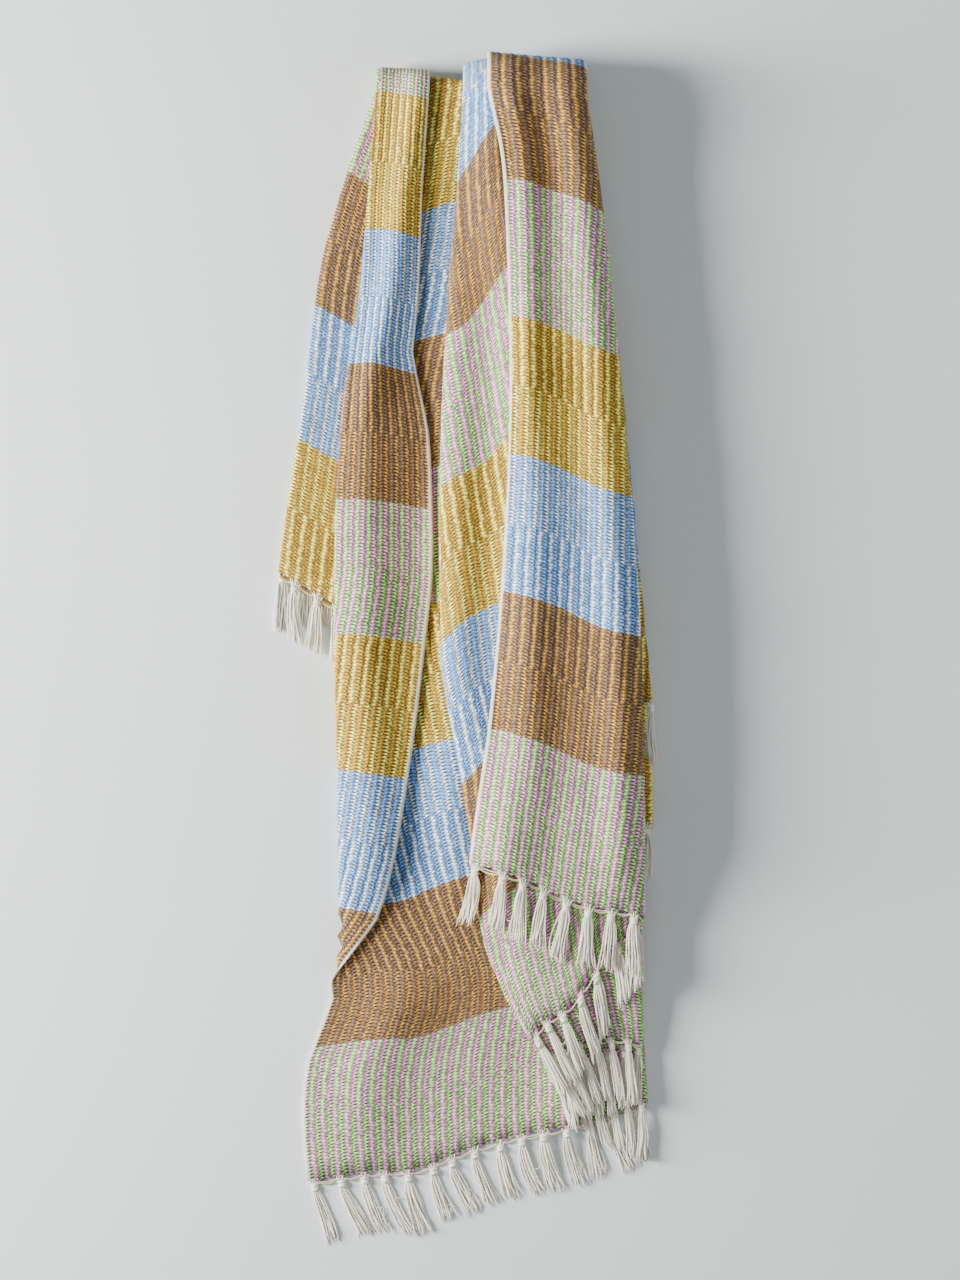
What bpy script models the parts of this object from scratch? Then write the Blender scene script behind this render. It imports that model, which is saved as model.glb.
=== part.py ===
"""Woven rib throw with a knotted fringe at both ends, gathered into lengthways pleats and doubled over.

The cloth is one rectangle, SPAN wide and LENGTH long. It is pleated lengthways into seven panels that lie on each
other, and the pleated bundle is doubled over near its middle, so that a front half lies on a back half.

Plan coordinates are millimetres: "down" runs from the doubled-over top towards the hems, "across" runs from left to
right. A cloth point is given by "span", its distance from the left selvedge along the weft, and "run", its distance
from the front hem along the warp.
"""

import math

import bpy
import numpy as np

# ---------------------------------------------------------------- driving sizes, mm
SPAN = 1200.0  # weft direction, selvedge to selvedge
LENGTH = 1800.0  # warp direction, hem to hem: twelve bands of 150
THICK = 3.0  # rib cloth
PITCH = 7.0  # from one lying layer to the next
ROLL = 7.0  # half the hollow that stays inside the doubled-over top
FRINGE = 78.0  # knot and tassel
FRINGE_THICK = 2.4
TASSELS = 48
TASSEL_SHARE = 0.62  # of the tassel pitch that a tassel fills
HEADING = 6.0  # knotted strip that carries the tassels
BARE_CREASES = ((1, 5), (1, 6))  # side and crease whose tight turn leaves no room for a tassel tooth
GAP = 0.8  # between cloth and fringe
SKIRT = 50.0  # an upper layer comes down over this width past the edge of a lower one
ORIGIN_ACROSS = 462.9
ORIGIN_DOWN = 729.6

PANELS = ("flap", "middle", "pleat_a", "pleat_b", "pleat_c", "second", "top")
# panels that lie under each one, in the front half and in the back half
UNDER_FRONT = {0: (1,), 1: (), 2: (1,), 3: (1, 2), 4: (1, 2, 3), 5: (1, 2, 3, 4), 6: (1, 2, 3, 4, 5)}
UNDER_BACK = {0: (), 1: (0, 2, 3, 4, 5, 6), 2: (3, 4, 5, 6), 3: (4, 5, 6), 4: (5, 6), 5: (6,), 6: ()}

# One table per edge or crease of the pleating, each row (down, across, span).
# Edges 0 and 7 are the selvedges; 1, 3 and 5 are left-hand creases, 2, 4 and 6 right-hand ones.
FRONT = (
    ((100, 410, 0), (200, 402, 0), (330, 397, 0), (400, 407, 0), (500, 425, 0), (620, 428, 0), (720, 419, 0), (860, 401, 0), (1010, 371, 0), (1110, 331, 0), (1220, 302, 0), (1340, 296, 0), (1440, 300, 0)),
    ((100, 367, 96), (200, 358, 98), (330, 347, 108), (400, 336, 114), (500, 325, 118), (620, 320, 118), (720, 320, 104), (860, 322, 84), (1010, 323, 50), (1110, 318, -14), (1220, 240, -62), (1340, 190, -110), (1440, 180, -126)),
    ((100, 590, 330), (200, 603, 362), (330, 618, 398), (500, 634, 428), (720, 650, 428), (860, 653, 404), (1010, 655, 386), (1110, 659, 376), (1220, 668, 378), (1340, 676, 382), (1440, 680, 384)),
    ((100, 500, 500), (200, 515, 510), (330, 530, 524), (500, 545, 530), (720, 553, 524), (860, 546, 510), (1010, 536, 510), (1110, 540, 514), (1220, 572, 518), (1340, 600, 524), (1440, 610, 526)),
    ((100, 593, 674), (200, 606, 660), (330, 621, 646), (500, 637, 630), (720, 653, 616), (860, 656, 620), (1010, 658, 646), (1110, 659, 664), (1220, 661, 670), (1340, 664, 672), (1440, 664, 672)),
    ((100, 463, 916), (200, 457, 908), (330, 446, 884), (500, 438, 850), (620, 437, 830), (720, 438, 818), (860, 459, 812), (960, 474, 814), (1040, 484, 818), (1110, 510, 824), (1170, 545, 830), (1300, 600, 836), (1440, 610, 836)),
    ((100, 595, 1104), (200, 608, 1094), (330, 623, 1072), (500, 639, 1053), (620, 649, 1042), (720, 655, 1034), (860, 658, 1020), (1000, 660, 1000), (1110, 661, 990), (1220, 664, 986), (1440, 668, 986)),
    ((100, 488, 1200), (200, 505, 1200), (330, 511, 1200), (430, 513, 1200), (520, 511, 1200), (660, 503, 1200), (800, 490, 1200), (960, 468, 1200), (1100, 456, 1200), (1440, 456, 1200)),
)
BACK = (
    ((100, 410, 0), (200, 402, 0), (330, 390, 0), (500, 374, 0), (720, 352, 0), (900, 340, 0), (1200, 340, 0)),
    ((100, 367, 96), (200, 330, 96), (300, 303, 94), (440, 285, 92), (580, 264, 92), (700, 250, 92), (900, 244, 92), (1200, 244, 92)),
    ((100, 590, 330), (200, 596, 372), (330, 610, 412), (500, 624, 442), (720, 640, 474), (900, 648, 480), (1200, 648, 480)),
    ((100, 500, 500), (200, 508, 524), (330, 514, 540), (500, 516, 560), (720, 520, 592), (900, 524, 600), (1200, 524, 600)),
    ((100, 593, 674), (200, 608, 684), (330, 626, 690), (500, 644, 706), (680, 661, 728), (800, 672, 742), (900, 678, 746), (1200, 680, 746)),
    ((100, 463, 916), (200, 462, 906), (330, 460, 900), (500, 459, 900), (720, 460, 914), (900, 462, 926), (1200, 462, 926)),
    ((100, 595, 1104), (200, 608, 1094), (330, 622, 1084), (500, 638, 1080), (680, 655, 1084), (800, 666, 1090), (900, 672, 1096), (1200, 674, 1096)),
    ((100, 488, 1200), (200, 508, 1200), (330, 518, 1200), (500, 530, 1200), (720, 544, 1200), (900, 556, 1200), (1200, 556, 1200)),
)

# run of the doubled-over top at each span
TOP_RUN = ((0, 1247), (100, 1233), (160, 1208), (200, 1187), (250, 1166), (300, 1152), (350, 1143), (450, 1125), (560, 1100), (660, 1084), (740, 1088), (812, 1106), (850, 1078), (910, 1045), (960, 999), (1010, 958), (1050, 950), (1100, 937), (1200, 915))
# where the doubled-over top turns, at each across position
TURN_DOWN = ((360, 94), (430, 99), (500, 112), (620, 122))

# Soft ridges: panel, edge that the ridge follows, its distance inside that edge at its start and at its end, down
# from, down to, half width, rise
RIDGES = (
    (0, 1, 40, 22, 100, 460, 15, 9),
    (0, 1, 22, 34, 420, 1000, 26, 5),
    (1, 0, 22, 12, 80, 320, 18, 4),
    (1, 5, -34, -30, 330, 900, 24, 3),
    (5, 5, 26, 30, 90, 1100, 34, 4),
    (6, 7, 26, 18, 90, 470, 22, 8),
    (6, 7, 22, 30, 420, 960, 30, 6),
    (6, 6, -22, -24, 90, 980, 24, 9),
)


def hermite(rows, at, column):
    """Smooth monotone reading of one column of a table at the given positions."""
    k = np.array([r[0] for r in rows], float)
    v = np.array([r[column] for r in rows], float)
    h = np.diff(k)
    d = np.diff(v) / h
    m = np.empty_like(v)
    m[0], m[-1] = d[0], d[-1]
    for i in range(1, len(v) - 1):
        if d[i - 1] * d[i] <= 0:
            m[i] = 0.0
        else:
            w1, w2 = 2 * h[i] + h[i - 1], h[i] + 2 * h[i - 1]
            m[i] = (w1 + w2) / (w1 / d[i - 1] + w2 / d[i])
    x = np.clip(np.asarray(at, float), k[0], k[-1])
    i = np.clip(np.searchsorted(k, x, side="right") - 1, 0, len(h) - 1)
    u = (x - k[i]) / h[i]
    return (
        v[i] * (1 + 2 * u) * (1 - u) ** 2
        + m[i] * h[i] * u * (1 - u) ** 2
        + v[i + 1] * u * u * (3 - 2 * u)
        + m[i + 1] * h[i] * u * u * (u - 1)
    )


def ease(u):
    u = np.clip(u, 0.0, 1.0)
    return u * u * (3 - 2 * u)


def across_of(side, edge, down):
    return hermite((FRONT if side > 0 else BACK)[edge], down, 1)


def span_of(side, edge, down):
    return hermite((FRONT if side > 0 else BACK)[edge], down, 2)


def turn_down(across):
    return hermite(TURN_DOWN, across, 1)


def table_down(out, turn):
    """Down at which the edge tables are read, for a point this far out from its own turn."""
    return turn + out + (100.0 - turn) * (1 - ease(out / 130))


def top_run(span):
    return hermite(TOP_RUN, span, 1)


def hem_down(side, edge):
    """Down position of the hem at one edge, from the length of cloth on that side of the top."""
    panel_depth = (1.0, 0.5, 0.5, 1.5, 2.5, 3.5, 4.5, 5.0)[edge]
    radius = ROLL + PITCH * (panel_depth + 0.5)
    down = 900.0
    for _ in range(30):
        run = float(top_run(span_of(side, edge, down)))
        length = run if side > 0 else LENGTH - run
        down = 0.5 * down + 0.5 * (float(turn_down(across_of(side, edge, 100.0))) + length - radius * math.pi / 2)
    return down


HEM = {side: [hem_down(side, e) for e in range(8)] for side in (1, -1)}


def presence(side, panel, across, down):
    """1 where a panel or its fringe lies, easing to 0 over SKIRT outside it."""
    a, b = across_of(side, panel, down), across_of(side, panel + 1, down)
    low, high = np.minimum(a, b), np.maximum(a, b)
    here = ease((across - (low - 4 - SKIRT)) / SKIRT) * ease(((high + 4 + SKIRT) - across) / SKIRT)
    share = np.clip((across - a) / np.where(np.abs(b - a) < 1, 1, b - a), 0, 1)
    end = HEM[side][panel] * (1 - share) + HEM[side][panel + 1] * share + FRINGE + 36
    here = here * ease((end + 140 - down) / 140)
    if side > 0 and panel == 0:
        here = here * ease(span_of(side, 1, down) / 24)
    return here


def rise(panel, across, down):
    total = np.zeros_like(across)
    for which, edge, start, end, first, last, half, height in RIDGES:
        if which == panel:
            u = np.clip((down - first) / (last - first), 0, 1)
            line = across_of(1, edge, down) + start + (end - start) * u
            fade = ease((down - first + 40) / 60) * ease((last + 40 - down) / 110)
            total = total + height * fade * np.exp(-(((across - line) / half) ** 2))
    return total


def heap(side, panel, across, down, lofted=True):
    """Height of a panel over the surface that carries its half of the bundle."""
    under = (UNDER_FRONT if side > 0 else UNDER_BACK)[panel]
    total = np.zeros_like(across)
    for j in under:
        total = total + PITCH * presence(side, j, across, down)
        if side > 0 and lofted:
            total = total + rise(j, across, down) * presence(side, j, across, down)
    if side > 0 and lofted:
        total = total + rise(panel, across, down)
    return total


def back_total(across, down):
    total = np.zeros_like(across)
    for j in range(7):
        total = total + PITCH * presence(-1, j, across, down)
    return total


def turns(side, down, lofted):
    """Each crease at the given downs: its way, radius, inner end, span, and the heap heights that it joins."""
    found = {}
    for edge in range(1, 7):
        way = 1.0 if edge % 2 == 0 else -1.0
        at = across_of(side, edge, down)
        probe = at - way * PITCH / 2
        low, high = heap(side, edge - 1, probe, down, lofted), heap(side, edge, probe, down, lofted)
        radius = np.clip(np.abs(high - low) / 2, PITCH * 0.45, 14.0)
        inner = at - way * radius
        before = heap(side, edge - 1, inner, down, lofted)
        after = heap(side, edge, inner, down, lofted)
        found[edge] = (way, radius, inner, span_of(side, edge, down), before, after)
    return found


def section(side, span, down, lofted=True):
    """Across and heap height of the cloth at each span, on the cross section at each down."""
    span, down = np.broadcast_arrays(np.asarray(span, float), np.asarray(down, float))
    bends = turns(side, down, lofted)
    across, height = np.zeros_like(span), np.zeros_like(span)
    for panel in range(7):
        if panel == 0:
            _, r1, x1, s1, _, _ = bends[1]
            s_end = s1 - r1 * math.pi / 2
            start = across_of(side, 0, down)
            rate = np.clip((start - x1) / np.maximum(s_end, 1.0), 0.6, 1.05)
            here = span < s_end
            place = x1 + (s_end - span) * rate
        else:
            _, r0, x0, s0, _, _ = bends[panel]
            s_start = s0 + r0 * math.pi / 2
            if panel < 6:
                _, r1, x1, s1, _, _ = bends[panel + 1]
                s_end = s1 - r1 * math.pi / 2
            else:
                x1, s_end = across_of(side, 7, down), span_of(side, 7, down) + 1e-6
            here = (span >= s_start) & (span <= s_end)
            place = x0 + (x1 - x0) * (span - s_start) / (s_end - s_start)
        across = np.where(here, place, across)
        if here.any():
            height = np.where(here, heap(side, panel, np.where(here, place, x1), down, lofted), height)
    for edge, (way, radius, inner, mid, before, after) in bends.items():
        angle = (span - mid) / radius
        here = np.abs(angle) <= math.pi / 2 + 1e-6
        across = np.where(here, inner + way * radius * np.cos(angle), across)
        height = np.where(here, (before + after) / 2 + (after - before) / 2 * np.sin(angle), height)
    return across, height


def place(span, run):
    """Where a point of the cloth's middle surface lies, in mm: across, down and height. run below 0 or over LENGTH
    is out along the fringe."""
    span, run = np.broadcast_arrays(np.asarray(span, float), np.asarray(run, float))
    top_across, top_height = section(1, span, np.full(span.shape, 100.0), False)
    lofted_across, top_lofted = section(1, span, np.full(span.shape, 100.0), True)
    turn = turn_down(top_across)
    reach = top_run(span) - run
    radius = top_height + PITCH / 2 + ROLL
    quarter = radius * math.pi / 2
    base = back_total(top_across, turn)
    axis = THICK / 2 + base - PITCH / 2 + ROLL
    angle = np.clip(reach / radius, -math.pi / 2, math.pi / 2)
    lift = np.where(angle > 0, top_lofted + PITCH / 2 + ROLL, radius)
    across = top_across + (lofted_across - top_across) * np.maximum(np.sin(angle), 0)
    down, height = turn - radius * np.cos(angle), axis + lift * np.sin(angle)
    front, back = reach > quarter, reach < -quarter
    out = np.abs(reach) - quarter
    d = turn + np.maximum(out, 0)
    if front.any():
        x, h = section(1, span, np.where(front, table_down(out, turn), 100.0))
        z = THICK / 2 + back_total(x, d) + 2 * ROLL * (1 - ease(out / 110)) + h
        across, down, height = np.where(front, x, across), np.where(front, d, down), np.where(front, z, height)
    if back.any():
        x, h = section(-1, span, np.where(back, table_down(out, turn), 100.0))
        w = 1 - ease(out / 50)
        z = THICK / 2 + w * (base - PITCH - top_height) + (1 - w) * h
        across, down, height = np.where(back, x, across), np.where(back, d, down), np.where(back, z, height)
    return np.stack([across, down, height], -1)


def run_at(side, span, down):
    """The run at which the cloth line of that span crosses the given down."""
    top_across, top_height = section(1, span, np.full(np.shape(span), 100.0), False)
    quarter = (top_height + PITCH / 2 + ROLL) * math.pi / 2
    return top_run(span) - side * (down - turn_down(top_across) + quarter)


# ---------------------------------------------------------------- columns and rows of the cloth's mesh
TURN_ANGLES = tuple(math.radians(a) for a in (-90, -32, 32, 90))
ROW_DOWNS = (150, 230, 330, 430, 540, 640, 730, 810, 890, 970, 1040, 1064, 1082, 1098, 1170, 1240)
BACK_SHARES = (0.06, 0.15, 0.28, 0.42, 0.57, 0.71, 0.86)
ROLL_ANGLES = tuple(math.radians(a) for a in (45, 0, -45))


def columns(side, down):
    """Spans of the mesh's columns at one down: the selvedges, the turns' angles, and lines shared by all panels."""
    d = np.array([float(down)])
    e = [float(across_of(side, k, d)[0]) for k in range(8)]
    second, edge, right, pleat = e[5], e[7], e[6], e[3]
    flap = max(e[0] - e[1], 6.0)
    inner = [pleat + (right - pleat) * 0.4, pleat + (right - pleat) * 0.75]
    shared = [edge, pleat, *inner]
    back_flap = float(across_of(side, 1, d)[0])
    lines = {
        0: [back_flap + (float(across_of(side, 0, d)[0]) - back_flap) * k for k in (0.3, 0.65)],
        1: ([e[1] + flap * 0.3, e[1] + flap * 0.65, e[0] + 10, second, second + 24] if side > 0 else
            [e[0] + 10, second - 52, second - 24, second, second + 26]) + [max(edge, 513.0), pleat, *inner],
        2: inner, 3: inner, 4: [second + 24] + shared, 5: [second + 24] + shared, 6: [pleat, *inner],
    }
    bends = turns(side, d, side > 0)
    got = [0.0]
    for panel in range(7):
        if panel == 0:
            _, r1, x1, s1, _, _ = (float(q[0]) if hasattr(q, "__len__") else q for q in bends[1])
            sa, sb, xa, xb = 0.0, s1 - r1 * math.pi / 2, float(across_of(side, 0, d)[0]), x1
        else:
            _, r0, x0, s0, _, _ = (float(q[0]) if hasattr(q, "__len__") else q for q in bends[panel])
            sa, xa = s0 + r0 * math.pi / 2, x0
            if panel < 6:
                _, r1, x1, s1, _, _ = (float(q[0]) if hasattr(q, "__len__") else q for q in bends[panel + 1])
                sb, xb = s1 - r1 * math.pi / 2, x1
            else:
                sb, xb = SPAN, float(across_of(side, 7, d)[0])
        shares = [min(max((x - xa) / (xb - xa) if abs(xb - xa) > 1 else 0.5, 0.0), 1.0) for x in lines[panel]]
        shares.sort()
        count = len(shares)
        shares = [min(max(f, (i + 1) * 0.07), 1 - (count - i) * 0.07) for i, f in enumerate(shares)]
        got += [sa + (sb - sa) * f for f in shares]
        if panel < 6:
            _, radius, _, mid, _, _ = (float(q[0]) if hasattr(q, "__len__") else q for q in bends[panel + 1])
            got += [mid + a * radius for a in TURN_ANGLES]
    got.append(SPAN)
    for i in range(1, len(got)):  # where the flap has run out, its columns close up on the selvedge
        got[i] = max(got[i], got[i - 1] + (4.0 if i < 11 else 0.5))
    return np.array(got)


LADDER = np.arange(100.0, 1441.0, 20.0)  # downs at which the columns are worked out; between them they run straight


def column_spans(side, downs, ladders={}):
    """Span of each column at its own down."""
    if side not in ladders:
        ladders[side] = np.array([columns(side, d) for d in LADDER])
    ladder = ladders[side]
    f = (np.clip(downs, LADDER[0], LADDER[-1]) - LADDER[0]) / (LADDER[1] - LADDER[0])
    i = np.clip(f.astype(int), 0, len(LADDER) - 2)
    k = np.arange(ladder.shape[1])
    return ladder[i, k] * (1 - (f - i)) + ladder[i + 1, k] * (f - i)


def grid():
    """(span, run) of each mesh node, a row for each line from the front hem over the top to the back hem."""
    count = len(columns(1, 300))
    rows = []

    top = columns(1, 100)
    across, height = section(1, top, np.full(count, 100.0), False)
    radius = height + PITCH / 2 + ROLL
    turn = turn_down(across)

    def spans_at(side, downs):
        return column_spans(side, table_down(downs - turn, turn))

    def hem_rows(side):
        """Rows from the top outwards; the last is the hem."""
        goal = 0.0 if side > 0 else LENGTH
        far = np.array([HEM[side][3]] * count)
        for _ in range(14):
            far = far + side * (run_at(side, spans_at(side, far), far) - goal) * 0.7
        if side > 0:
            steps = [np.minimum(down, far - 10.0 * (len(ROW_DOWNS) - j)) for j, down in enumerate(ROW_DOWNS)]
        else:
            steps = [turn + (far - turn) * share for share in BACK_SHARES]
        made = [(spans_at(side, d), run_at(side, spans_at(side, d), d)) for d in steps]
        return made + [(spans_at(side, far), np.full(count, goal))]

    front, back = hem_rows(1), hem_rows(-1)
    rows += front[::-1]
    for angle in (math.pi / 2, *ROLL_ANGLES, -math.pi / 2):
        rows.append((top, top_run(top) - radius * angle))
    rows += back
    return np.array([r[0] for r in rows]), np.array([r[1] for r in rows])


def world(points):
    across, down, height = points[..., 0], points[..., 1], points[..., 2]
    return np.stack([across - ORIGIN_ACROSS, ORIGIN_DOWN - down, height], -1) / 1000.0


def faces_of(rows, cols, flip):
    made = []
    for j in range(rows - 1):
        for i in range(cols - 1):
            a, b, c, d = j * cols + i, j * cols + i + 1, (j + 1) * cols + i + 1, (j + 1) * cols + i
            made.append((a, b, c, d) if not flip else (d, c, b, a))
    return made


def shell(middle, normal, thick):
    """Closed shell about a grid of middle points, thick across its normals."""
    rows, cols = middle.shape[:2]
    count = rows * cols
    points = np.concatenate([(middle + normal * thick / 2).reshape(-1, 3), (middle - normal * thick / 2).reshape(-1, 3)])
    points[:, 2] = np.maximum(points[:, 2], 0.0)
    faces = faces_of(rows, cols, False)
    faces += [tuple(count + k for k in f) for f in faces_of(rows, cols, True)]
    ring = [i for i in range(cols)] + [j * cols + cols - 1 for j in range(1, rows)]
    ring += [(rows - 1) * cols + i for i in range(cols - 2, -1, -1)] + [j * cols for j in range(rows - 2, 0, -1)]
    for a, b in zip(ring, ring[1:] + ring[:1]):
        faces.append((b, a, count + a, count + b))
    return points, faces


def normals(span, run):
    step = 0.8
    along = place(span + step, run) - place(span - step, run)
    up = place(span, run + step) - place(span, run - step)
    along = world(along) - world(np.zeros(3))
    up = world(up) - world(np.zeros(3))
    n = np.cross(along, up)
    return n / np.maximum(np.linalg.norm(n, axis=-1, keepdims=True), 1e-12)


def material(name, colour, rough):
    made = bpy.data.materials.new(name)
    made.use_nodes = True
    shader = made.node_tree.nodes["Principled BSDF"]
    shader.inputs["Base Color"].default_value = (*colour, 1)
    shader.inputs["Roughness"].default_value = rough
    shader.inputs["Metallic"].default_value = 0.0
    return made


def add(name, points, faces, finish):
    mesh = bpy.data.meshes.new(name)
    mesh.from_pydata([tuple(p) for p in points], [], faces)
    mesh.update()
    made = bpy.data.objects.new(name, mesh)
    bpy.context.scene.collection.objects.link(made)
    made.data.materials.append(finish)
    return made


def comb(name, spans, side, finish):
    """Heading strip along a hem with a tassel tooth for each knot, all following the cloth's columns."""
    start = 0.0 if side > 0 else LENGTH
    pitch = SPAN / TASSELS
    edges = []
    for k in range(TASSELS):
        middle = (k + 0.5) * pitch
        edges += [(middle - pitch * TASSEL_SHARE / 2, True), (middle + pitch * TASSEL_SHARE / 2, False)]
    cuts = sorted(set([float(s) for s in spans] + [e for e, _ in edges]))
    cuts = [c for i, c in enumerate(cuts) if i == 0 or c - cuts[i - 1] > 1e-6]
    bare = []
    for which, edge in BARE_CREASES:
        if which == side:
            _, radius, _, mid, _, _ = turns(side, np.array([HEM[side][edge]]), True)[edge]
            bare.append((float(mid[0] - radius[0] * 1.6), float(mid[0] + radius[0] * 1.6)))
    inside = []
    for a, b in zip(cuts, cuts[1:]):
        m = (a + b) / 2
        tooth = (math.floor(m / pitch) + 0.5) * pitch
        half = pitch * TASSEL_SHARE / 2
        clear = all(tooth + half < low or tooth - half > high for low, high in bare)
        inside.append(clear and abs(m - tooth) < half)
    outs = [GAP, HEADING, FRINGE]

    def line(out):
        run = start - side * out
        at, n = world(place(spans, run)), normals(spans, run)
        return at, n

    lines = [line(out) for out in outs]
    points, index = [], {}

    def node(cut, row, face):
        key = (cut, row, face)
        if key not in index:
            s = cuts[cut]
            i = int(np.clip(np.searchsorted(spans, s, side="right") - 1, 0, len(spans) - 2))
            f = (s - spans[i]) / (spans[i + 1] - spans[i])
            at, n = lines[row]
            p = at[i] * (1 - f) + at[i + 1] * f
            m = n[i] * (1 - f) + n[i + 1] * f
            index[key] = len(points)
            points.append(p + m * (FRINGE_THICK / 2000.0) * (1 if face == 0 else -1))
        return index[key]

    faces = []
    order = 1 if side > 0 else -1

    def quad(a, b, c, d):
        faces.append((a, b, c, d)[::order])

    last = len(cuts) - 1
    for k in range(last):
        for row in (0, 1) if inside[k] else (0,):
            # outwards from the hem the run falls in front and grows behind, so the order of the corners turns over
            quad(node(k, row, 0), node(k, row + 1, 0), node(k + 1, row + 1, 0), node(k + 1, row, 0))
            quad(node(k + 1, row, 1), node(k + 1, row + 1, 1), node(k, row + 1, 1), node(k, row, 1))
        quad(node(k, 0, 1), node(k, 0, 0), node(k + 1, 0, 0), node(k + 1, 0, 1))
        low = 2 if inside[k] else 1
        quad(node(k, low, 0), node(k, low, 1), node(k + 1, low, 1), node(k + 1, low, 0))
        for row in (0, 1):
            left = (k > 0 and (row == 0 or inside[k - 1]))
            right = (k + 1 < last and (row == 0 or inside[k + 1]))
            if row == 1 and not inside[k]:
                continue
            if not left:
                quad(node(k, row, 0), node(k, row, 1), node(k, row + 1, 1), node(k, row + 1, 0))
            if not right:
                quad(node(k + 1, row, 0), node(k + 1, row + 1, 0), node(k + 1, row + 1, 1), node(k + 1, row, 1))
    return add(name, points, faces, finish)


def build():
    for old in list(bpy.data.objects):
        bpy.data.objects.remove(old)
    span, run = grid()
    middle = world(place(span, run))
    points, faces = shell(middle, normals(span, run), THICK / 1000.0)
    cloth = material("rib_cotton", (0.62, 0.45, 0.25), 0.92)
    yarn = material("cream_yarn", (0.80, 0.76, 0.68), 0.9)
    add("throw_cloth", points, faces, cloth)
    comb("fringe_front", span[0], 1, yarn)
    comb("fringe_back", span[-1], -1, yarn)


build()
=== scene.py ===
"""Looks of the woven rib throw: pleated lengthways, doubled over and laid out on a pale floor.

A cloth point is given in mm by "span", its distance from the left selvedge along the weft, and "run", its distance
from the front hem along the warp. "down" and "across" are plan positions, also in mm.
"""

import math

import bpy
import numpy as np
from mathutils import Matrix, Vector

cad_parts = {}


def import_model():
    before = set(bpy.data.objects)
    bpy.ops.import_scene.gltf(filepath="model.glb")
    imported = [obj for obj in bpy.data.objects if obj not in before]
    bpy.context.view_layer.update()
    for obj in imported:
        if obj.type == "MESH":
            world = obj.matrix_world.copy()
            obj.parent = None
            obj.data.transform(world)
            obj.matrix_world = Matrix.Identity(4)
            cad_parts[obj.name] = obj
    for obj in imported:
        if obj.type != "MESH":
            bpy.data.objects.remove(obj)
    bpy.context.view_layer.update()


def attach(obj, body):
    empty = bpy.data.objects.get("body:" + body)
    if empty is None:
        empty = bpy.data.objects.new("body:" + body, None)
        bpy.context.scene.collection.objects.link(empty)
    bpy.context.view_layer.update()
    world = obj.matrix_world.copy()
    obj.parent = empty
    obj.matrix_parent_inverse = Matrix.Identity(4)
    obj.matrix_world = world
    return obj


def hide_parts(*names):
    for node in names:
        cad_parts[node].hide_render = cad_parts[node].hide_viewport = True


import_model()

# ---------------------------------------------------------------- sizes, mm, as in the part's own solids
SPAN = 1200.0
LENGTH = 1800.0
THICK = 3.0
PITCH = 7.0
ROLL = 7.0
FRINGE = 78.0
TASSELS = 48
SKIRT = 50.0
ORIGIN_ACROSS = 462.9
ORIGIN_DOWN = 729.6
RIBS = 184
RIB = SPAN / RIBS
BAND = 150.0
ROW = 3.75  # one weft pick and its pair

# panels that lie under each one, in the front half and in the back half
UNDER_FRONT = {0: (1,), 1: (), 2: (1,), 3: (1, 2), 4: (1, 2, 3), 5: (1, 2, 3, 4), 6: (1, 2, 3, 4, 5)}
UNDER_BACK = {0: (), 1: (0, 2, 3, 4, 5, 6), 2: (3, 4, 5, 6), 3: (4, 5, 6), 4: (5, 6), 5: (6,), 6: ()}

# One table per edge or crease of the pleating, each row (down, across, span).
# Edges 0 and 7 are the selvedges; 1, 3 and 5 are left-hand creases, 2, 4 and 6 right-hand ones.
FRONT = (
    ((100, 410, 0), (200, 402, 0), (330, 397, 0), (400, 407, 0), (500, 425, 0), (620, 428, 0), (720, 419, 0), (860, 401, 0), (1010, 371, 0), (1110, 315, 0), (1150, 300, 0), (1190, 287, 0), (1240, 283, 0), (1340, 292, 0), (1440, 306, 0)),
    ((100, 367, 96), (200, 358, 98), (330, 347, 108), (400, 336, 114), (500, 325, 118), (620, 320, 118), (720, 320, 104), (860, 322, 84), (1010, 323, 50), (1064, 321, 16), (1110, 302, -14), (1150, 272, -30), (1190, 239, -48), (1240, 216, -66), (1340, 182, -110), (1440, 184, -126)),
    ((100, 590, 330), (200, 603, 362), (330, 618, 398), (500, 634, 428), (720, 650, 428), (860, 653, 404), (1010, 655, 386), (1110, 659, 376), (1220, 666, 378), (1340, 675, 382), (1440, 682, 384)),
    ((100, 500, 500), (200, 515, 510), (330, 530, 524), (500, 545, 530), (720, 553, 524), (860, 546, 510), (1010, 536, 510), (1110, 540, 514), (1220, 572, 518), (1340, 600, 524), (1440, 610, 526)),
    ((100, 593, 674), (200, 606, 660), (330, 621, 646), (500, 637, 630), (720, 653, 616), (860, 656, 620), (1010, 658, 646), (1110, 659, 664), (1220, 661, 670), (1340, 664, 672), (1440, 664, 672)),
    ((100, 463, 916), (200, 457, 908), (330, 446, 884), (500, 438, 850), (620, 437, 830), (720, 438, 818), (860, 459, 812), (960, 474, 814), (1040, 484, 818), (1110, 510, 824), (1170, 545, 830), (1300, 600, 836), (1440, 610, 836)),
    ((100, 595, 1104), (200, 608, 1094), (330, 623, 1072), (500, 639, 1053), (620, 649, 1042), (720, 655, 1034), (860, 658, 1020), (1000, 660, 1000), (1110, 661, 990), (1220, 664, 986), (1440, 668, 986)),
    ((100, 488, 1200), (200, 505, 1200), (330, 511, 1200), (430, 513, 1200), (520, 511, 1200), (660, 503, 1200), (800, 490, 1200), (960, 468, 1200), (1100, 456, 1200), (1440, 456, 1200)),
)
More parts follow.
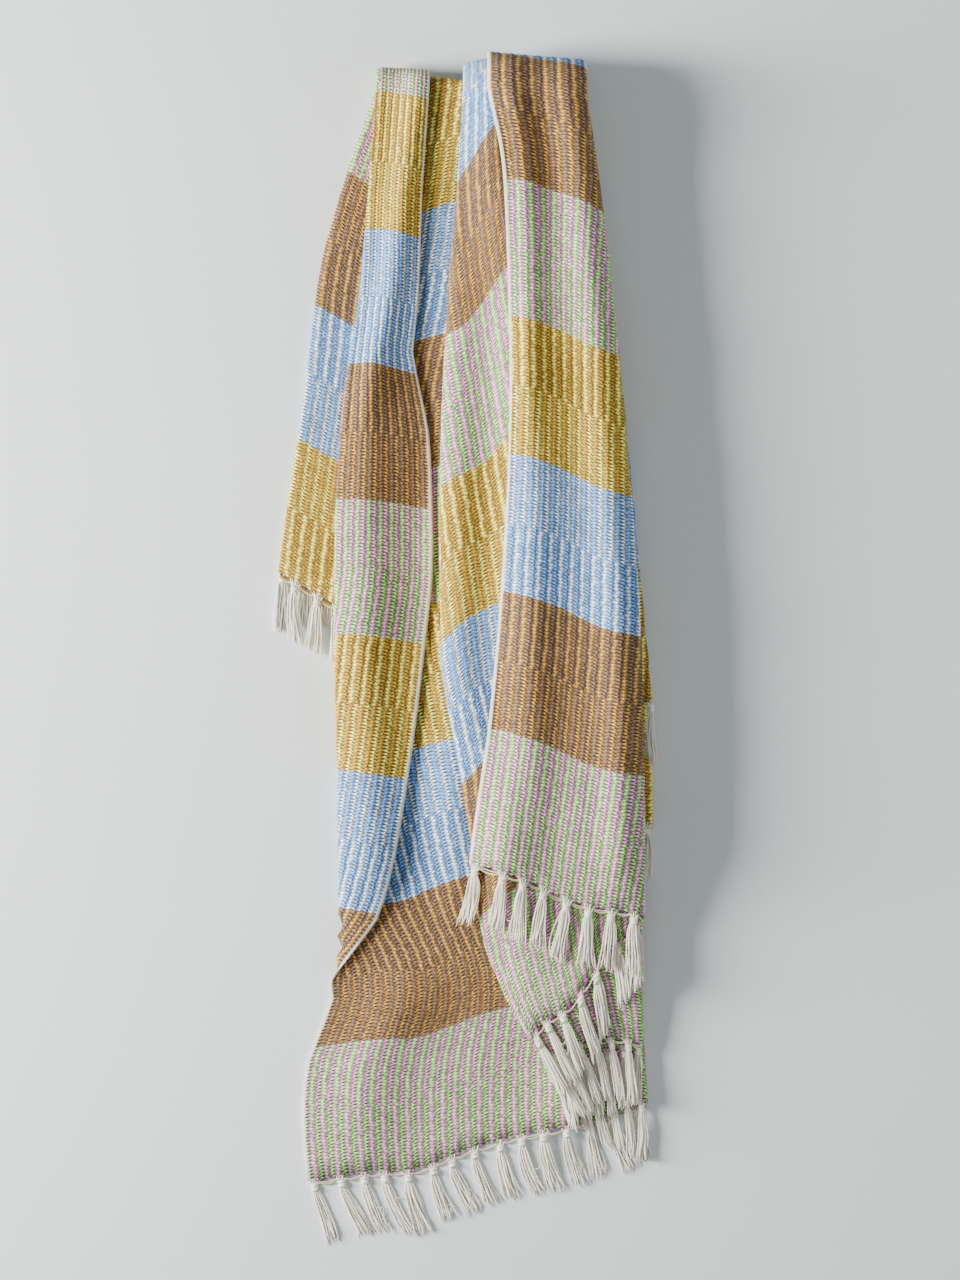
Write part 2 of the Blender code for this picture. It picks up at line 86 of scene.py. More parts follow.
BACK = (
    ((100, 410, 0), (200, 402, 0), (330, 390, 0), (500, 374, 0), (720, 352, 0), (900, 340, 0), (1200, 340, 0)),
    ((100, 367, 96), (200, 330, 96), (300, 303, 94), (440, 285, 92), (580, 264, 92), (700, 250, 92), (900, 244, 92), (1200, 244, 92)),
    ((100, 590, 330), (200, 596, 372), (330, 610, 412), (500, 624, 442), (720, 640, 474), (900, 648, 480), (1200, 648, 480)),
    ((100, 500, 500), (200, 508, 524), (330, 514, 540), (500, 516, 560), (720, 520, 592), (900, 524, 600), (1200, 524, 600)),
    ((100, 593, 674), (200, 608, 684), (330, 626, 690), (500, 644, 706), (680, 661, 728), (800, 672, 742), (900, 678, 746), (1200, 680, 746)),
    ((100, 463, 916), (200, 462, 906), (330, 460, 900), (500, 459, 900), (720, 460, 914), (900, 462, 926), (1200, 462, 926)),
    ((100, 595, 1104), (200, 608, 1094), (330, 622, 1084), (500, 638, 1080), (680, 655, 1084), (800, 666, 1090), (900, 672, 1096), (1200, 674, 1096)),
    ((100, 488, 1200), (200, 508, 1200), (330, 518, 1200), (500, 530, 1200), (720, 544, 1200), (900, 556, 1200), (1200, 556, 1200)),
)

# run of the doubled-over top at each span
TOP_RUN = ((0, 1247), (100, 1233), (160, 1208), (200, 1187), (250, 1166), (300, 1152), (350, 1143), (450, 1125), (560, 1100), (660, 1084), (740, 1088), (812, 1106), (850, 1078), (910, 1045), (960, 999), (1010, 958), (1050, 950), (1100, 937), (1200, 915))
# where the doubled-over top turns, at each across position
TURN_DOWN = ((360, 94), (430, 99), (500, 112), (620, 122))

# Soft ridges and troughs: panel, edge that the line follows, its distance inside that edge at its start and at its
# end, down from, down to, half width, rise
RIDGES = (
    (0, 1, 44, 26, 100, 460, 16, 16),
    (0, 1, 26, 38, 420, 1000, 30, 16),
    (1, 0, 22, 12, 80, 320, 18, 4),
    (1, 5, -34, -30, 330, 900, 24, 3),
    (1, 1, 90, 150, 1100, 1300, 40, 9),
    (1, 2, -70, -110, 1120, 1300, 30, 8),
    (5, 5, 19, 24, 150, 1040, 27, 15),
    (6, 7, 26, 20, 110, 470, 15, 13),
    (6, 7, 24, 34, 420, 990, 28, 12),
    (6, 6, -20, -26, 110, 990, 20, 16),
    (6, 7, 78, 96, 760, 1010, 18, -2.5),
)


def hermite(rows, at, column):
    """Smooth monotone reading of one column of a table at the given positions."""
    k = np.array([r[0] for r in rows], float)
    v = np.array([r[column] for r in rows], float)
    h = np.diff(k)
    d = np.diff(v) / h
    m = np.empty_like(v)
    m[0], m[-1] = d[0], d[-1]
    for i in range(1, len(v) - 1):
        if d[i - 1] * d[i] <= 0:
            m[i] = 0.0
        else:
            w1, w2 = 2 * h[i] + h[i - 1], h[i] + 2 * h[i - 1]
            m[i] = (w1 + w2) / (w1 / d[i - 1] + w2 / d[i])
    x = np.clip(np.asarray(at, float), k[0], k[-1])
    i = np.clip(np.searchsorted(k, x, side="right") - 1, 0, len(h) - 1)
    u = (x - k[i]) / h[i]
    return (
        v[i] * (1 + 2 * u) * (1 - u) ** 2
        + m[i] * h[i] * u * (1 - u) ** 2
        + v[i + 1] * u * u * (3 - 2 * u)
        + m[i + 1] * h[i] * u * u * (u - 1)
    )


def ease(u):
    u = np.clip(u, 0.0, 1.0)
    return u * u * (3 - 2 * u)


def across_of(side, edge, down):
    return hermite((FRONT if side > 0 else BACK)[edge], down, 1)


def span_of(side, edge, down):
    return hermite((FRONT if side > 0 else BACK)[edge], down, 2)


def turn_down(across):
    return hermite(TURN_DOWN, across, 1)


def table_down(out, turn):
    """Down at which the edge tables are read, for a point this far out from its own turn."""
    return turn + out + (100.0 - turn) * (1 - ease(out / 130))


def top_run(span):
    return hermite(TOP_RUN, span, 1)


def hem_down(side, edge):
    """Down position of the hem at one edge, from the length of cloth on that side of the top."""
    panel_depth = (1.0, 0.5, 0.5, 1.5, 2.5, 3.5, 4.5, 5.0)[edge]
    radius = ROLL + PITCH * (panel_depth + 0.5)
    down = 900.0
    for _ in range(30):
        run = float(top_run(span_of(side, edge, down)))
        length = run if side > 0 else LENGTH - run
        down = 0.5 * down + 0.5 * (float(turn_down(across_of(side, edge, 100.0))) + length - radius * math.pi / 2)
    return down


HEM = {side: [hem_down(side, e) for e in range(8)] for side in (1, -1)}


def presence(side, panel, across, down):
    """1 where a panel or its fringe lies, easing to 0 over SKIRT outside it."""
    a, b = across_of(side, panel, down), across_of(side, panel + 1, down)
    low, high = np.minimum(a, b), np.maximum(a, b)
    here = ease((across - (low - 4 - SKIRT)) / SKIRT) * ease(((high + 4 + SKIRT) - across) / SKIRT)
    share = np.clip((across - a) / np.where(np.abs(b - a) < 1, 1, b - a), 0, 1)
    end = HEM[side][panel] * (1 - share) + HEM[side][panel + 1] * share + FRINGE + 36
    here = here * ease((end + 140 - down) / 140)
    if side > 0 and panel == 0:
        here = here * ease(span_of(side, 1, down) / 24)
    return here


def rise(panel, across, down):
    total = np.zeros_like(across)
    for which, edge, start, end, first, last, half, height in RIDGES:
        if which == panel:
            u = np.clip((down - first) / (last - first), 0, 1)
            line = across_of(1, edge, down) + start + (end - start) * u
            fade = ease((down - first + 40) / 60) * ease((last + 40 - down) / 110)
            total = total + height * fade * np.exp(-(((across - line) / half) ** 2))
    return total


def heap(side, panel, across, down, lofted=True):
    """Height of a panel over the surface that carries its half of the bundle."""
    under = (UNDER_FRONT if side > 0 else UNDER_BACK)[panel]
    total = np.zeros_like(across)
    for j in under:
        total = total + PITCH * presence(side, j, across, down)
        if side > 0 and lofted:
            total = total + rise(j, across, down) * presence(side, j, across, down)
    if side > 0 and lofted:
        total = total + rise(panel, across, down)
    return total


def back_total(across, down):
    total = np.zeros_like(across)
    for j in range(7):
        total = total + PITCH * presence(-1, j, across, down)
    return total


def turns(side, down, lofted):
    """Each crease at the given downs: its way, radius, inner end, span, and the heap heights that it joins."""
    found = {}
    for edge in range(1, 7):
        way = 1.0 if edge % 2 == 0 else -1.0
        at = across_of(side, edge, down)
        probe = at - way * PITCH / 2
        low, high = heap(side, edge - 1, probe, down, lofted), heap(side, edge, probe, down, lofted)
        radius = np.clip(np.abs(high - low) / 2, PITCH * 0.45, 14.0)
        inner = at - way * radius
        before = heap(side, edge - 1, inner, down, lofted)
        after = heap(side, edge, inner, down, lofted)
        found[edge] = (way, radius, inner, span_of(side, edge, down), before, after)
    return found


def section(side, span, down, lofted=True):
    """Across and heap height of the cloth at each span, on the cross section at each down."""
    span, down = np.broadcast_arrays(np.asarray(span, float), np.asarray(down, float))
    bends = turns(side, down, lofted)
    across, height = np.zeros_like(span), np.zeros_like(span)
    for panel in range(7):
        if panel == 0:
            _, r1, x1, s1, _, _ = bends[1]
            s_end = s1 - r1 * math.pi / 2
            start = across_of(side, 0, down)
            rate = np.clip((start - x1) / np.maximum(s_end, 1.0), 0.6, 1.05)
            here = span < s_end
            place = x1 + (s_end - span) * rate
        else:
            _, r0, x0, s0, _, _ = bends[panel]
            s_start = s0 + r0 * math.pi / 2
            if panel < 6:
                _, r1, x1, s1, _, _ = bends[panel + 1]
                s_end = s1 - r1 * math.pi / 2
            else:
                x1, s_end = across_of(side, 7, down), span_of(side, 7, down) + 1e-6
            here = (span >= s_start) & ((span <= s_end) | (panel == 6))
            place = x0 + (x1 - x0) * (span - s_start) / (s_end - s_start)
        across = np.where(here, place, across)
        if here.any():
            height = np.where(here, heap(side, panel, np.where(here, place, x1), down, lofted), height)
    for edge, (way, radius, inner, mid, before, after) in bends.items():
        angle = (span - mid) / radius
        here = np.abs(angle) <= math.pi / 2 + 1e-6
        across = np.where(here, inner + way * radius * np.cos(angle), across)
        height = np.where(here, (before + after) / 2 + (after - before) / 2 * np.sin(angle), height)
    return across, height


QUARTER_AT = np.arange(-30.0, SPAN + 31.0, 1.0)


def soft_quarter(memo={}):
    """Cloth that the turn takes up on one side at each span, evened out so that the bands meet in smooth lines."""
    if not memo:
        raw = (section(1, QUARTER_AT, np.full(QUARTER_AT.shape, 100.0), False)[1] + PITCH / 2 + ROLL) * math.pi / 2
        reach = np.arange(-75, 76)
        weight = np.exp(-((reach / 27.0) ** 2))
        memo["rows"] = np.convolve(np.pad(raw, 75, mode="edge"), weight / weight.sum(), mode="valid")
    return memo["rows"]


def quarter_of(span):
    return np.interp(span, QUARTER_AT, soft_quarter())


def place(span, run):
    """Where a point of the cloth's middle surface lies, in mm: across, down and height. run below 0 or over LENGTH
    is out along the fringe."""
    span, run = np.broadcast_arrays(np.asarray(span, float), np.asarray(run, float))
    top_across, top_height = section(1, span, np.full(span.shape, 100.0), False)
    lofted_across, top_lofted = section(1, span, np.full(span.shape, 100.0), True)
    turn = turn_down(top_across)
    reach = top_run(span) - run
    radius = top_height + PITCH / 2 + ROLL
    quarter = quarter_of(span)
    base = back_total(top_across, turn)
    axis = THICK / 2 + base - PITCH / 2 + ROLL
    angle = np.clip(reach / quarter, -1.0, 1.0) * math.pi / 2
    lift = np.where(angle > 0, top_lofted + PITCH / 2 + ROLL, radius)
    across = top_across + (lofted_across - top_across) * np.maximum(np.sin(angle), 0)
    down, height = turn - radius * np.cos(angle), axis + lift * np.sin(angle)
    front, back = reach > quarter, reach < -quarter
    out = np.abs(reach) - quarter
    d = turn + np.maximum(out, 0)
    if front.any():
        x, h = section(1, span, np.where(front, table_down(out, turn), 100.0))
        z = THICK / 2 + back_total(x, d) + 2 * ROLL * (1 - ease(out / 110)) + h
        across, down, height = np.where(front, x, across), np.where(front, d, down), np.where(front, z, height)
    if back.any():
        x, h = section(-1, span, np.where(back, table_down(out, turn), 100.0))
        w = 1 - ease(out / 50)
        z = THICK / 2 + w * (base - PITCH - top_height) + (1 - w) * h
        across, down, height = np.where(back, x, across), np.where(back, d, down), np.where(back, z, height)
    return np.stack([across, down, height], -1)





def world(points):
    across, down, height = points[..., 0], points[..., 1], points[..., 2]
    return np.stack([across - ORIGIN_ACROSS, ORIGIN_DOWN - down, height], -1) / 1000.0


def crumple(p):
    """Slow unevenness shared by all layers, so that they stay apart; the lowest layer still lies on the floor."""
    x, y, z = p[..., 0], p[..., 1], p[..., 2]
    wave = 1.5 + 0.8 * np.sin(x / 17.0 + 1.3 * np.sin(y / 62.0)) * np.sin(y / 41.0 + x / 90.0)
    wave = wave + 0.7 * np.sin(y / 23.0 + x / 37.0 + 1.1 * np.sin(x / 55.0))
    return np.stack([x, y, z + wave * np.clip((z - 1.6) / 12.0, 0, 1)], -1)


def lay(span, run):
    """World place of the cloth's middle surface in metres."""
    return world(crumple(place(span, run)))


def lay_facing(span, run, step=1.5):
    """World place and unit normal; one call reads all the points that the normals need."""
    at, along, up = lay(np.stack([span, span + step, span]), np.stack([run, run, run + step]))
    n = np.cross(along - at, up - at)
    return at, n / np.maximum(np.linalg.norm(n, axis=-1, keepdims=True), 1e-12)


def grid_normal(middle):
    n = np.cross(np.gradient(middle, axis=1), np.gradient(middle, axis=0))
    return n / np.maximum(np.linalg.norm(n, axis=-1, keepdims=True), 1e-12)


def link(name, points, faces, smooth=True):
    mesh = bpy.data.meshes.new(name)
    points, faces = np.asarray(points, np.float32), np.asarray(faces, np.int32)
    mesh.vertices.add(len(points))
    mesh.vertices.foreach_set("co", points.ravel())
    mesh.loops.add(faces.size)
    mesh.loops.foreach_set("vertex_index", faces.ravel())
    mesh.polygons.add(len(faces))
    mesh.polygons.foreach_set("loop_start", np.arange(0, faces.size, faces.shape[1], dtype=np.int32))
    mesh.polygons.foreach_set("use_smooth", np.full(len(faces), smooth))
    mesh.update(calc_edges=True)
    mesh.validate()
    made = bpy.data.objects.new(name, mesh)
    bpy.context.scene.collection.objects.link(made)
    return made


def mark(piece, name, values):
    """Vector stored on each point of a piece, for its material."""
    layer = piece.data.attributes.new(name, "FLOAT_VECTOR", "POINT")
    layer.data.foreach_set("vector", np.asarray(values, np.float32).ravel())


# ---------------------------------------------------------------- cloth
FRONT_ROWS, ROLL_ROWS, BACK_ROWS = 54, 14, 28


def cloth_columns():
    """Spans of the mesh columns and the half thickness at each: thin in the grooves, full on the ribs."""
    spans, halves = [], []
    for r in range(RIBS):
        seen = r * RIB < 484 or r * RIB > 806
        for f, t in ((0.0, 1.0), (0.33, 1.85), (0.67, 1.85)) if seen else ((0.0, 1.0), (0.5, 1.85)):
            spans.append((r + f) * RIB)
            halves.append(t)
    return np.array(spans + [SPAN]), np.array(halves + [1.0])


def build_cloth():
    span, half = cloth_columns()
    quarter = quarter_of(span)
    top = top_run(span)
    knot = np.cos(2 * math.pi * (span / (SPAN / TASSELS) - 0.5))
    rows = []
    for j in range(FRONT_ROWS):
        u = j / FRONT_ROWS
        rows.append(u * (top - quarter) - (1 - u) ** 14 * 1.6 * knot)
    for j in range(ROLL_ROWS):
        rows.append(top - quarter + 2 * quarter * j / ROLL_ROWS)
    for j in range(BACK_ROWS):
        u = j / (BACK_ROWS - 1)
        rows.append((top + quarter) * (1 - u) + LENGTH * u + u**14 * 1.6 * knot)
    run = np.array(rows)
    span = np.broadcast_to(span, run.shape)
    middle = lay(span, run)
    normal = grid_normal(middle)
    count = run.size
    thick = np.broadcast_to(half, run.shape)[..., None] / 1000.0
    points = np.concatenate([(middle + normal * thick).reshape(-1, 3), (middle - normal * thick).reshape(-1, 3)])
    points[:, 2] = np.maximum(points[:, 2], 0.0)
    nr, nc = run.shape
    k = np.arange(count).reshape(nr, nc)
    q = np.stack([k[:-1, :-1], k[:-1, 1:], k[1:, 1:], k[1:, :-1]], -1).reshape(-1, 4)
    ring = np.concatenate([k[0, :], k[1:, -1], k[-1, -2::-1], k[-2:0:-1, 0]])
    nxt = np.roll(ring, -1)
    side = np.stack([nxt, ring, count + ring, count + nxt], -1)
    faces = np.concatenate([q, count + q[:, ::-1], side])
    piece = link("throw_weave", points, faces)
    data = np.stack([span.ravel() / RIB, run.ravel() / BAND, np.zeros(count)], -1)
    other = data.copy()
    other[:, 2] = 1.0
    mark(piece, "weave", np.concatenate([data, other]))
    return piece


# ---------------------------------------------------------------- fringe
def tubes(paths, radii, sides=5):
    """Closed tubes along (count, steps, 3) paths with a radius at each step; returns points, faces and yarn marks."""
    count, steps = paths.shape[:2]
    tangent = np.gradient(paths, axis=1)
    tangent /= np.maximum(np.linalg.norm(tangent, axis=-1, keepdims=True), 1e-12)
    up = np.zeros_like(tangent)
    up[..., 2] = 1.0
    up = np.where(np.abs(tangent[..., 2:3]) > 0.9, np.array([1.0, 0.0, 0.0]), up)
    side = np.cross(tangent, up)
    side /= np.maximum(np.linalg.norm(side, axis=-1, keepdims=True), 1e-12)
    top = np.cross(side, tangent)
    angle = np.arange(sides) * 2 * math.pi / sides
    ring = (
        paths[:, :, None, :]
        + radii[..., None, None] * (side[:, :, None, :] * np.cos(angle)[:, None] + top[:, :, None, :] * np.sin(angle)[:, None])
    )
    points = ring.reshape(-1, 3)
    base = (np.arange(count) * steps * sides)[:, None, None]
    i = (np.arange(steps - 1) * sides)[None, :, None]
    j = np.arange(sides)[None, None, :]
    a = base + i + j
    b = base + i + (j + 1) % sides
    quads = np.stack([a, a + sides, b + sides, b], -1).reshape(-1, 4)
    length = np.cumsum(np.linalg.norm(np.diff(paths, axis=1, prepend=paths[:, :1]), axis=-1), axis=1)
    marks = np.zeros((count, steps, sides, 3))
    marks[..., 0] = length[:, :, None] * 1000.0
    marks[..., 1] = np.arange(sides)[None, None, :] / sides
    marks[..., 2] = (np.arange(count) * 0.6180339)[:, None, None] % 1.0
    return points, quads, marks.reshape(-1, 3)


def gather(parts):
    points, faces, marks, at = [], [], [], 0
    for p, f, m in parts:
        points.append(p)
        faces.append(f + at)
        marks.append(m)
        at += len(p)
    return np.concatenate(points), np.concatenate(faces), np.concatenate(marks)


def spots(side, span, out, lift):
    """World points of a fringe: span along the hem, out beyond it, lift off the layer that it lies in."""
    start = 0.0 if side > 0 else LENGTH
    run = start - side * out
    at, n = lay_facing(span, run)
    p = at + n * (lift[..., None] / 1000.0)
    p[..., 2] = np.maximum(p[..., 2], 0.0006)
    return p


def build_fringe(name, side, seed):
    rng = np.random.default_rng(seed)
    pitch = SPAN / TASSELS
    strands, steps = 20, 13
    parts = []
    centres = (np.arange(TASSELS) + 0.5) * pitch + rng.uniform(-2.0, 2.0, TASSELS)
    centres[0], centres[-1] = 7.0, SPAN - 7.0
    sway = rng.uniform(-6.0, 6.0, TASSELS)
    if side > 0:
        sway[:16] += 15.0  # those at the bottom lie swept to the right
    t = np.linspace(0, 1, steps)
    all_spans, all_outs, all_lifts, all_radii = [], [], [], []
    for k in range(TASSELS):
        golden = np.arange(strands) * 2.399963 + rng.uniform(0, 6.28)
        r = np.sqrt((np.arange(strands) + 0.5) / strands)
        ox, oz = r * np.cos(golden), r * np.sin(golden)
        end = 66.0 + rng.uniform(-3.0, 3.0) + rng.uniform(-4.5, 4.5, strands)
        d = -2.0 + (end[:, None] + 2.0) * t[None, :]
        neck = np.exp(-(((d - 8.0) / 7.0) ** 2))
        flare = np.clip((d - 10.0) / 56.0, 0, 1)
        width = np.where(d < 8.0, 9.0 - 6.6 * neck, 6.0 - 3.6 * neck + 3.8 * flare)
        depth = 1.7 + 0.6 * flare
        phase, freq = rng.uniform(0, 6.28, strands)[:, None], rng.uniform(0.05, 0.11, strands)[:, None]
        wave = rng.normal(0, 0.75, strands)[:, None] * flare * np.sin(d * freq + phase) * 2.0
        drift = rng.normal(0, 1.5, strands)[:, None] * flare**2
        s = centres[k] + ox[:, None] * width + wave + drift + sway[k] * flare**1.4 + 1.5 * np.sin(d / 17.0 + k) * flare
        lift = oz[:, None] * depth + 1.0 * flare * np.sin(d * freq * 1.3 + phase * 2)
        all_spans.append(s)
        all_outs.append(d)
        all_lifts.append(lift)
        radius = np.full(d.shape, 0.78) * (1 + 0.12 * np.sin(d * 1.7 + phase))
        radius[:, -1] = 0.3
        all_radii.append(radius / 1000.0)
    paths = spots(side, np.concatenate(all_spans), np.concatenate(all_outs), np.concatenate(all_lifts))
    parts.append(tubes(paths, np.concatenate(all_radii)))
    # knots: a lumpy bead of the same yarn, with three turns of it around the neck
    knot_steps = 9
    u = np.linspace(-1, 1, knot_steps)
    kd = 8.0 + 4.6 * u[None, :] + rng.uniform(-1.2, 1.2, TASSELS)[:, None]
    ks = np.broadcast_to(centres[:, None], kd.shape)
    knots = spots(side, ks, kd, np.full(kd.shape, 0.6))
    kr = (3.9 * np.sqrt(np.clip(1 - u**2, 0.02, 1)))[None, :] * rng.uniform(0.9, 1.12, TASSELS)[:, None] / 1000.0
    parts.append(tubes(knots, kr, 10))
    a = np.linspace(0, 2 * math.pi, 15)
    loops = []
    for k in range(TASSELS):
        for turn, tilt in ((-2.1, 1.3), (0.3, -1.5), (2.3, 1.1)):
            s = centres[k] + 4.1 * np.cos(a)
            d = 8.0 + turn + tilt * np.cos(a + 0.6)
            lift = 0.8 + 3.6 * np.sin(a)
            loops.append((s, d, lift))
    loops = np.array(loops)
    loops = spots(side, loops[:, 0], loops[:, 1], loops[:, 2])
    parts.append(tubes(loops, np.full(loops.shape[:2], 0.95 / 1000.0), 5))
    # stray single threads, here and there
    strays = []
    for k in rng.choice(TASSELS - 2, 12, replace=False) + 1:
        d0 = rng.uniform(22, 45)
        w = np.linspace(0, 1, steps)
        s = centres[k] + rng.choice([-1, 1]) * (4 + 11 * np.sin(w * 2.6)) + rng.normal(0, 1)
        d = d0 + 24 * w * rng.uniform(0.5, 1.0) + 3 * np.sin(w * 9)
        strays.append((s, d))
    strays = np.array(strays)
    strays = spots(side, strays[:, 0], strays[:, 1], np.full(strays[:, 0].shape, 1.4))
    parts.append(tubes(strays, np.full(strays.shape[:2], 0.42 / 1000.0)))
    points, faces, marks = gather(parts)
    points[:, 2] = np.maximum(points[:, 2], 0.0001)
    piece = link(name, points, faces)
    mark(piece, "yarn", marks)
    # weft loops that the knots leave hanging between them
    arcs, tints = [], []
    w = np.linspace(0, 1, 11)
    for k in range(TASSELS - 1):
        for low, tint in ((3.6, 0.0), (2.2, 1.0)):
            s = centres[k] + 2 + (centres[k + 1] - centres[k] - 4) * w
            d = 1.2 + (low + rng.uniform(-0.6, 1.2)) * np.sin(math.pi * w) ** 0.8
            arcs.append((s, d, np.full(11, 0.3 + tint * 0.9)))
            tints.append(tint)
    arcs = np.array(arcs)
    arcs = spots(side, arcs[:, 0], arcs[:, 1], arcs[:, 2])
    p, f, m = tubes(arcs, np.full(arcs.shape[:2], 0.85 / 1000.0), 5)
    m[:, 2] = np.repeat(np.array(tints), arcs.shape[1] * 5)
    p[:, 2] = np.maximum(p[:, 2], 0.0001)
    edging = link(name + "_loops", p, f)
    mark(edging, "yarn", m)
    return piece, edging


# ---------------------------------------------------------------- materials
def linear(text):
    value = [int(text[i : i + 2], 16) / 255 for i in (1, 3, 5)]
    return tuple(v / 12.92 if v <= 0.04045 else ((v + 0.055) / 1.055) ** 2.4 for v in value) + (1.0,)


class Nodes:
    """Short words for the nodes of one material."""

    def __init__(self, name, rough, sheen):
        self.material = bpy.data.materials.new(name)
        self.material.use_nodes = True
        self.tree = self.material.node_tree
        self.shader = self.tree.nodes["Principled BSDF"]
        self.shader.inputs["Roughness"].default_value = rough
        self.shader.inputs["Metallic"].default_value = 0.0
        self.shader.inputs["Specular IOR Level"].default_value = 0.25
        self.shader.inputs["Sheen Weight"].default_value = sheen
        self.shader.inputs["Sheen Roughness"].default_value = 0.5

    def put(self, socket, value):
        if isinstance(value, bpy.types.NodeSocket):
            self.tree.links.new(value, socket)
        else:
            socket.default_value = value

    def math(self, kind, a, b=0.0, c=0.0):
        node = self.tree.nodes.new("ShaderNodeMath")
        node.operation = kind
        for socket, value in zip(node.inputs, (a, b, c)):
            self.put(socket, value)
        return node.outputs[0]

    def mix(self, f, a, b, way="MIX"):
        node = self.tree.nodes.new("ShaderNodeMix")
        node.data_type = "RGBA"
        node.blend_type = way
        self.put(node.inputs[0], f)
        self.put(node.inputs[6], a)
        self.put(node.inputs[7], b)
        return node.outputs[2]

    def attribute(self, name):
        node = self.tree.nodes.new("ShaderNodeAttribute")
        node.attribute_name = name
        split = self.tree.nodes.new("ShaderNodeSeparateXYZ")
        self.tree.links.new(node.outputs["Vector"], split.inputs[0])
        return split.outputs

    def join(self, x, y, z=0.0):
        node = self.tree.nodes.new("ShaderNodeCombineXYZ")
        for socket, value in zip(node.inputs, (x, y, z)):
            self.put(socket, value)
        return node.outputs[0]

    def noise(self, vector, scale, detail=2.0, rough=0.5):
        node = self.tree.nodes.new("ShaderNodeTexNoise")
        self.put(node.inputs["Vector"], vector)
        node.inputs["Scale"].default_value = scale
        node.inputs["Detail"].default_value = detail
        node.inputs["Roughness"].default_value = rough
        return node.outputs["Fac"]

    def white(self, vector):
        node = self.tree.nodes.new("ShaderNodeTexWhiteNoise")
        node.noise_dimensions = "3D"
        self.put(node.inputs["Vector"], vector)
        return node.outputs["Value"]

    def range(self, value, low, high, to_low, to_high, way="LINEAR"):
        node = self.tree.nodes.new("ShaderNodeMapRange")
        node.interpolation_type = way
        for socket, v in zip(node.inputs, (value, low, high, to_low, to_high)):
            self.put(socket, v)
        return node.outputs[0]

    def scaled(self, colour, amount):
        node = self.tree.nodes.new("ShaderNodeVectorMath")
        node.operation = "SCALE"
        self.put(node.inputs[0], colour if isinstance(colour, bpy.types.NodeSocket) else colour[:3])
        self.put(node.inputs["Scale"], amount)
        return node.outputs[0]

    def finish(self, colour, height, distance, strength=1.0):
        self.put(self.shader.inputs["Base Color"], colour)
        bump = self.tree.nodes.new("ShaderNodeBump")
        bump.inputs["Strength"].default_value = strength
        bump.inputs["Distance"].default_value = distance
        self.put(bump.inputs["Height"], height)
        self.tree.links.new(bump.outputs[0], self.shader.inputs["Normal"])
        return self.material


# light and dark yarn of each band, from the front hem
YARNS = (("#a8ea7e", "#f4a2d8"), ("#c2944a", "#876a58"), ("#6caaf4", "#d8e6f4"), ("#f8e66a", "#c49428"))
CREAM = "#f8f2e2"


